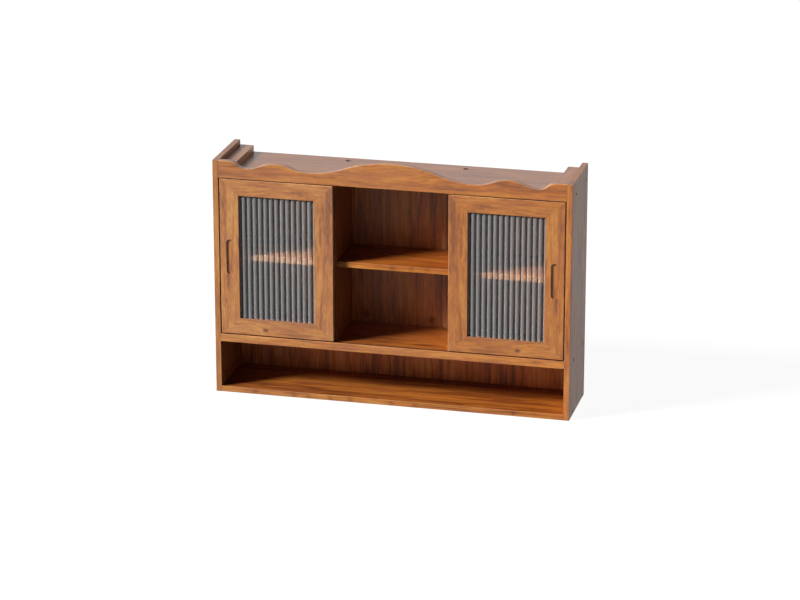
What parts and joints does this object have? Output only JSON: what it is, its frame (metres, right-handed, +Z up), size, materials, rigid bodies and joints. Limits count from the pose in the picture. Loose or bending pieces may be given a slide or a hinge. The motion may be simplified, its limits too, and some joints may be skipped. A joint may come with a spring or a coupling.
{
  "type": "sliding door wall cabinet",
  "caption": "Wall cabinet with sliding fluted-glass doors either side of an open centre bay, an open bay below and a wavy crest rail along the top.",
  "frame": {"origin": "middle of the cabinet's bounding box at the level of its foot", "axes": "+X to the right seen from the front, +Y from the front to the wall, +Z up"},
  "size_m": [1, 0.217, 0.6915],
  "materials": {
    "carcass_wood": "satin walnut laminate",
    "door_wood": "satin walnut laminate",
    "crest_wood": "satin walnut laminate",
    "back_wood": "satin walnut laminate",
    "dowel_wood": "plain beech",
    "fluted_glass": "fluted grey glass",
    "track_plastic": "extruded",
    "nylon": "moulded",
    "steel": "zinc plated"
  },
  "bodies": {
    "cabinet": {"left_side_panel": "carcass_wood", "right_side_panel": "carcass_wood", "top_panel": "carcass_wood", "middle_panel": "carcass_wood", "bottom_panel": "carcass_wood", "left_divider": "carcass_wood", "right_divider": "carcass_wood", "centre_shelf": "carcass_wood", "left_shelf": "carcass_wood", "right_shelf": "carcass_wood", "hanging_rail": "carcass_wood", "left_top_batten": "carcass_wood", "right_top_batten": "carcass_wood", "back_panel": "back_wood", "crest_rail": "crest_wood", "bottom_track": "track_plastic", "top_track": "track_plastic", "side_screws": "steel", "divider_screws": "steel", "carcass_dowels": "dowel_wood", "shelf_pins": "steel"},
    "left_door": {"left_door_outer_stile": "door_wood", "left_door_inner_stile": "door_wood", "left_door_top_rail": "door_wood", "left_door_bottom_rail": "door_wood", "left_door_beads": "door_wood", "left_door_glass": "fluted_glass", "left_door_dowels": "dowel_wood", "left_door_roller_housings": "nylon", "left_door_roller_axles": "steel", "left_door_guide_bushes": "nylon", "left_door_outer_guide_spring": "steel", "left_door_inner_guide_spring": "steel"},
    "left_door_outer_roller": {"left_door_outer_roller": "nylon"},
    "left_door_outer_guide_pin": {"left_door_outer_guide_pin": "nylon"},
    "left_door_inner_roller": {"left_door_inner_roller": "nylon"},
    "left_door_inner_guide_pin": {"left_door_inner_guide_pin": "nylon"},
    "right_door": {"right_door_outer_stile": "door_wood", "right_door_inner_stile": "door_wood", "right_door_top_rail": "door_wood", "right_door_bottom_rail": "door_wood", "right_door_beads": "door_wood", "right_door_glass": "fluted_glass", "right_door_dowels": "dowel_wood", "right_door_roller_housings": "nylon", "right_door_roller_axles": "steel", "right_door_guide_bushes": "nylon", "right_door_outer_guide_spring": "steel", "right_door_inner_guide_spring": "steel"},
    "right_door_outer_roller": {"right_door_outer_roller": "nylon"},
    "right_door_outer_guide_pin": {"right_door_outer_guide_pin": "nylon"},
    "right_door_inner_roller": {"right_door_inner_roller": "nylon"},
    "right_door_inner_guide_pin": {"right_door_inner_guide_pin": "nylon"}
  },
  "joints": [
    {"name": "left_door_slide", "type": "slide", "parent": "cabinet", "child": "left_door", "axis": [1, 0, 0], "range_m": [0, 0.32]},
    {"name": "left_door_outer_roller_turn", "type": "hinge", "parent": "left_door", "child": "left_door_outer_roller", "pos_m": [-0.401, -0.1005, 0.1764], "axis": [0, 1, 0], "range_deg": [-10, 1680]},
    {"name": "left_door_outer_guide_pin_press", "type": "slide", "parent": "left_door", "child": "left_door_outer_guide_pin", "axis": [0, 0, 1], "range_m": [-0.007, 0], "stiffness_N_per_m": 400, "springref_m": 0.005, "deforming": ["left_door_outer_guide_spring"]},
    {"name": "left_door_inner_roller_turn", "type": "hinge", "parent": "left_door", "child": "left_door_inner_roller", "pos_m": [-0.241, -0.1005, 0.1764], "axis": [0, 1, 0], "range_deg": [-10, 1680]},
    {"name": "left_door_inner_guide_pin_press", "type": "slide", "parent": "left_door", "child": "left_door_inner_guide_pin", "axis": [0, 0, 1], "range_m": [-0.007, 0], "stiffness_N_per_m": 400, "springref_m": 0.005, "deforming": ["left_door_inner_guide_spring"]},
    {"name": "right_door_slide", "type": "slide", "parent": "cabinet", "child": "right_door", "axis": [1, 0, 0], "range_m": [-0.32, 0]},
    {"name": "right_door_outer_roller_turn", "type": "hinge", "parent": "right_door", "child": "right_door_outer_roller", "pos_m": [0.401, -0.1005, 0.1764], "axis": [0, 1, 0], "range_deg": [-1680, 10]},
    {"name": "right_door_outer_guide_pin_press", "type": "slide", "parent": "right_door", "child": "right_door_outer_guide_pin", "axis": [0, 0, 1], "range_m": [-0.007, 0], "stiffness_N_per_m": 400, "springref_m": 0.005, "deforming": ["right_door_outer_guide_spring"]},
    {"name": "right_door_inner_roller_turn", "type": "hinge", "parent": "right_door", "child": "right_door_inner_roller", "pos_m": [0.241, -0.1005, 0.1764], "axis": [0, 1, 0], "range_deg": [-1680, 10]},
    {"name": "right_door_inner_guide_pin_press", "type": "slide", "parent": "right_door", "child": "right_door_inner_guide_pin", "axis": [0, 0, 1], "range_m": [-0.007, 0], "stiffness_N_per_m": 400, "springref_m": 0.005, "deforming": ["right_door_inner_guide_spring"]}
  ],
  "couplings": [
    {"joint": "left_door_outer_roller_turn", "follows": "left_door_slide", "rad_per_m": 90.909},
    {"joint": "left_door_inner_roller_turn", "follows": "left_door_slide", "rad_per_m": 90.909},
    {"joint": "right_door_outer_roller_turn", "follows": "right_door_slide", "rad_per_m": 90.909},
    {"joint": "right_door_inner_roller_turn", "follows": "right_door_slide", "rad_per_m": 90.909}
  ]
}
